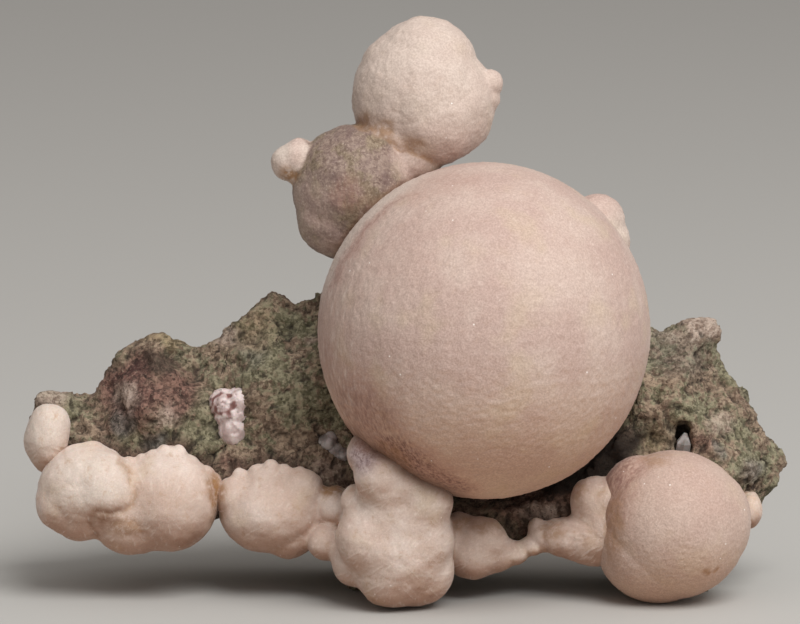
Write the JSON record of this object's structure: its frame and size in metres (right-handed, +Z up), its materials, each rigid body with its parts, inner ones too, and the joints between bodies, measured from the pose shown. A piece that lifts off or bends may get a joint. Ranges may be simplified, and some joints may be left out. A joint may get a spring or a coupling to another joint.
{
  "type": "thomsonite specimen on basalt matrix",
  "caption": "Upright mineral specimen: velvety spheres and knobbly lumps of tan and cream thomsonite grown on a slab of green and brown basalt.",
  "frame": {"origin": "middle of the underside of the specimen's box, on the surface it stands on", "axes": "+X along the slab to the viewer's right, +Y away from the viewer, +Z up"},
  "size_m": [0.0919, 0.0431, 0.0692],
  "materials": {
    "thomsonite_tan": "velvety tan crystal ends with mauve and brown stains",
    "thomsonite_cream": "satin cream with fine radiating fibres",
    "basalt": "rough, matte, green and maroon mottled",
    "zeolite": "white to grey, softly glassy"
  },
  "bodies": {
    "root": {"matrix": "basalt", "sphere_group": "thomsonite_tan", "front_cluster": "thomsonite_cream", "left_cluster": "thomsonite_cream", "end_lump": "thomsonite_cream", "rear_lump": "thomsonite_cream", "white_amygdule": "zeolite", "grey_amygdule": "zeolite", "vug_crystal": "zeolite"}
  },
  "joints": []
}
